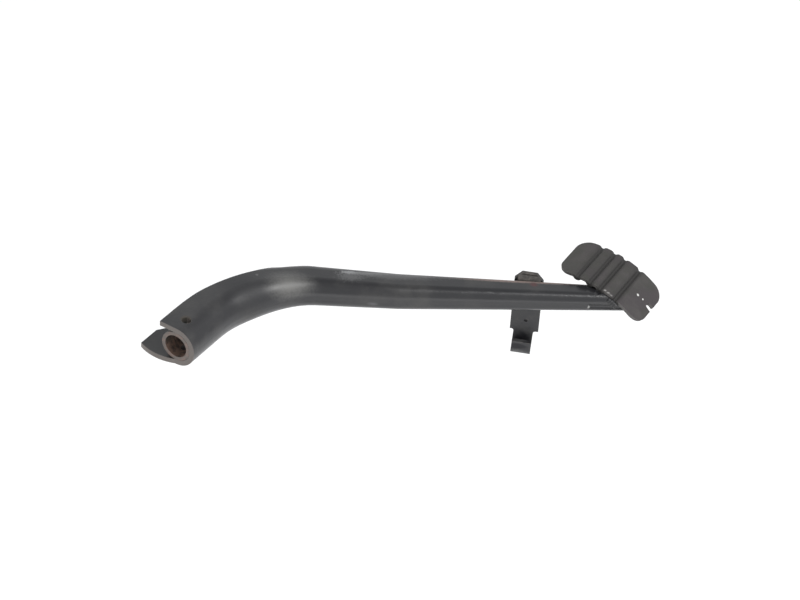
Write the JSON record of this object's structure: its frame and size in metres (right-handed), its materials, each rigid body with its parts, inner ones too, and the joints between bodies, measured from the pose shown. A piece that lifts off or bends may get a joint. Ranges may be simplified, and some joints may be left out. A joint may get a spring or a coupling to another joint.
{
  "type": "clutch pedal",
  "caption": "Bent pressed-steel clutch pedal with a cross-shaft sleeve, a grooved arched foot plate and a welded strap with a hooked tab.",
  "frame": {"origin": "middle of the sleeve's mouth, on the bore's axis", "axes": "+X along the straight shank towards the foot plate, +Y to the open side of the pressing, +Z along the pin hole, out of the foot plate's face; the arm's middle plane is Z = 0"},
  "size_m": [0.3399, 0.1145, 0.0677],
  "materials": {
    "black_paint": "satin black paint, worn at the edges",
    "worn_steel": "thin black paint worn to rusty steel"
  },
  "bodies": {
    "root": {"pedal_arm": "black_paint", "pivot_sleeve": "worn_steel", "foot_plate": "black_paint", "hook_strap": "black_paint", "sleeve_weld_upper": "worn_steel", "sleeve_weld_lower": "worn_steel", "strap_weld_upper": "black_paint", "strap_weld_lower": "black_paint", "plate_weld_near": "black_paint", "plate_weld_far": "black_paint"}
  },
  "joints": []
}
